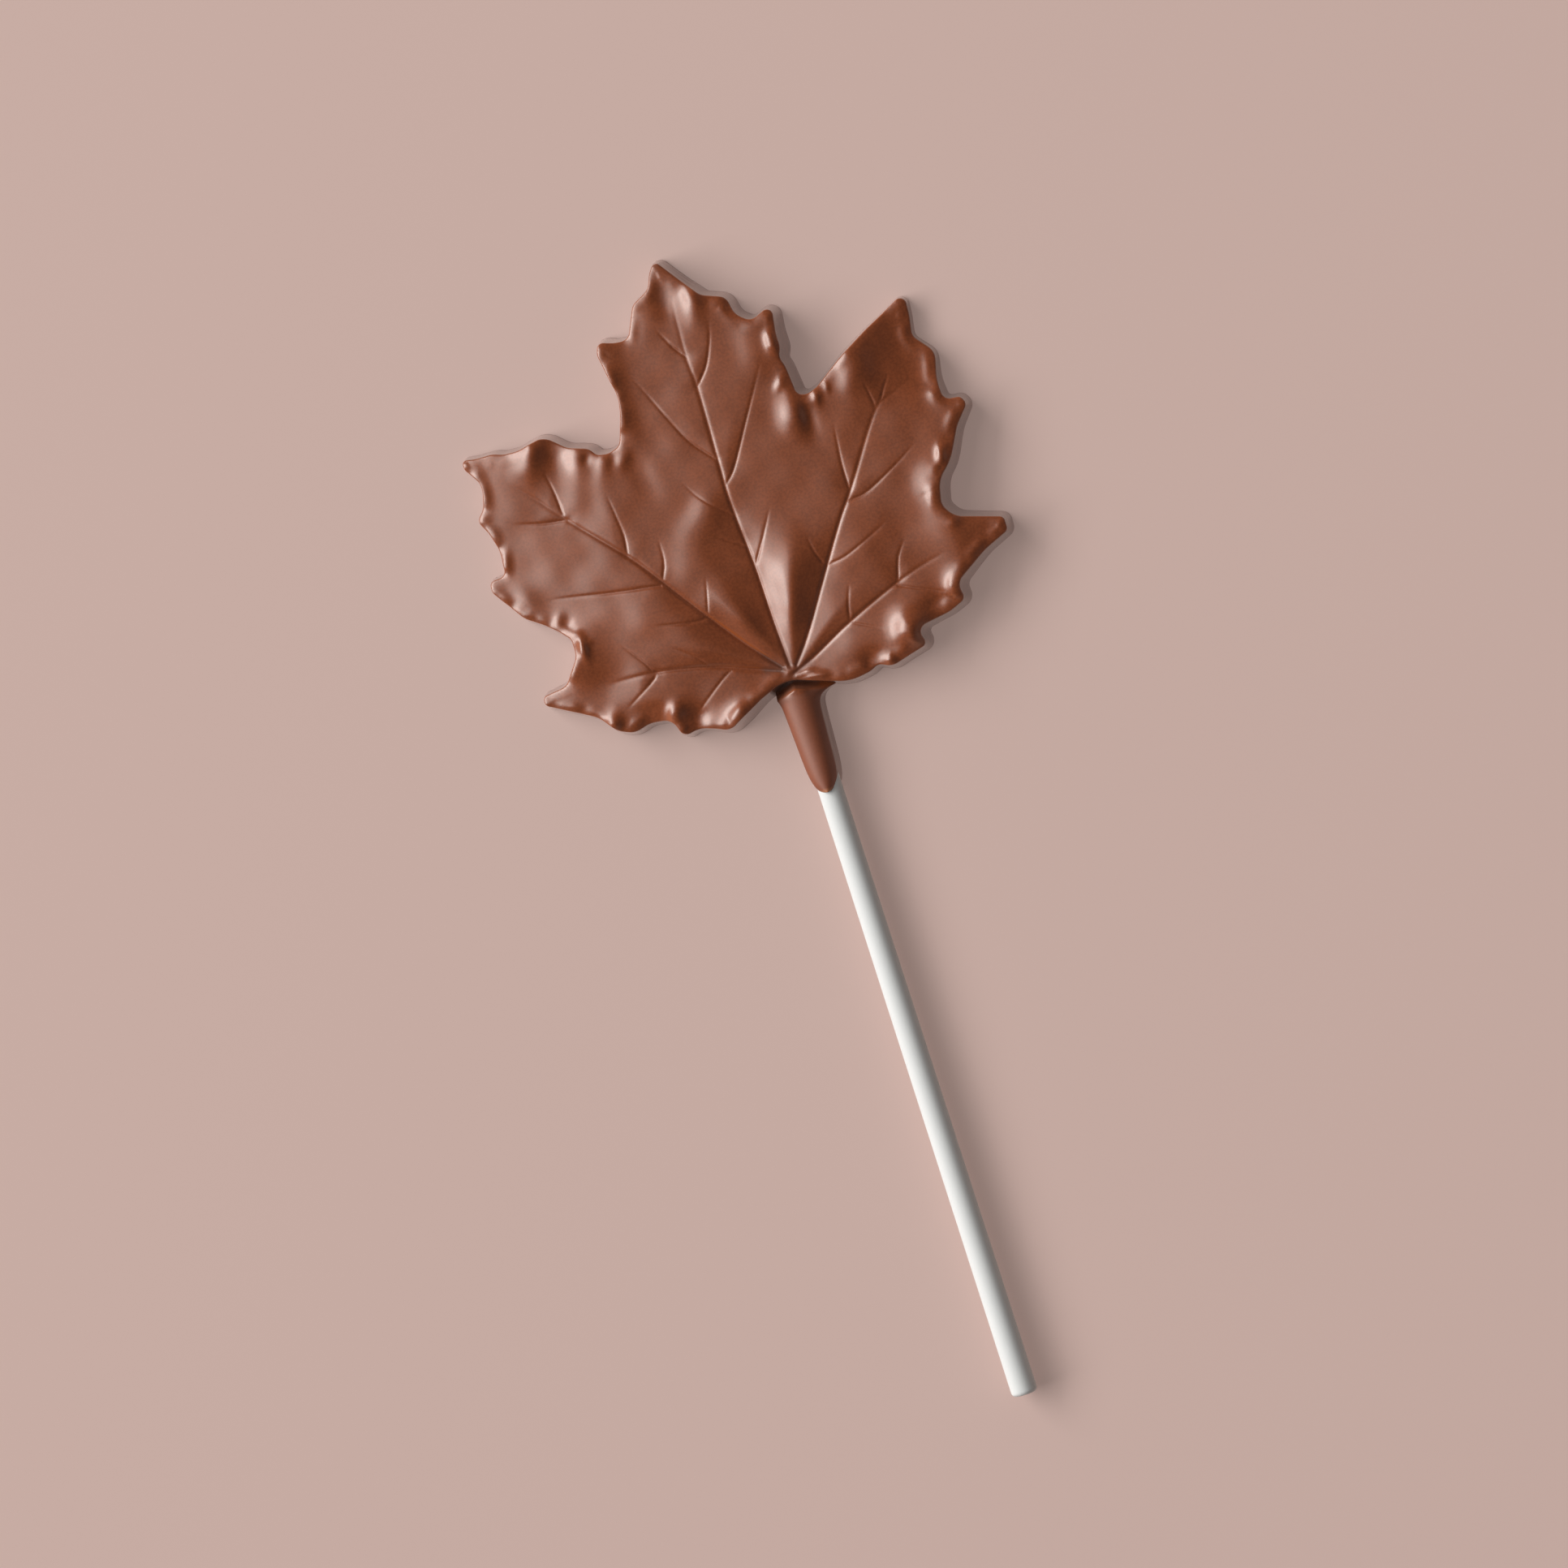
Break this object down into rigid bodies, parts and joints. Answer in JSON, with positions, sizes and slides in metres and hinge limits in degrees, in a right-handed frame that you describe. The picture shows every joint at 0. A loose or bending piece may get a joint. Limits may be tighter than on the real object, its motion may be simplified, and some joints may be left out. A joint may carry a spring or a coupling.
{
  "type": "chocolate maple leaf lollipop",
  "caption": "Milk chocolate lollipop moulded as a veined maple leaf with a short chocolate stem, cast round a white rolled paper stick; it lies on its flat back.",
  "frame": {"origin": "on the flat back, under the hub where the leaf's main veins meet", "axes": "+Y along the stick's axis towards the leaf's top point, +Z out of the veined face, +X to the right"},
  "size_m": [0.0814, 0.1844, 0.0081],
  "materials": {
    "milk_chocolate": "satin milk chocolate",
    "white_paper": "matt rolled white paper"
  },
  "bodies": {
    "root": {"chocolate_leaf": "milk_chocolate", "paper_stick": "white_paper"}
  },
  "joints": []
}
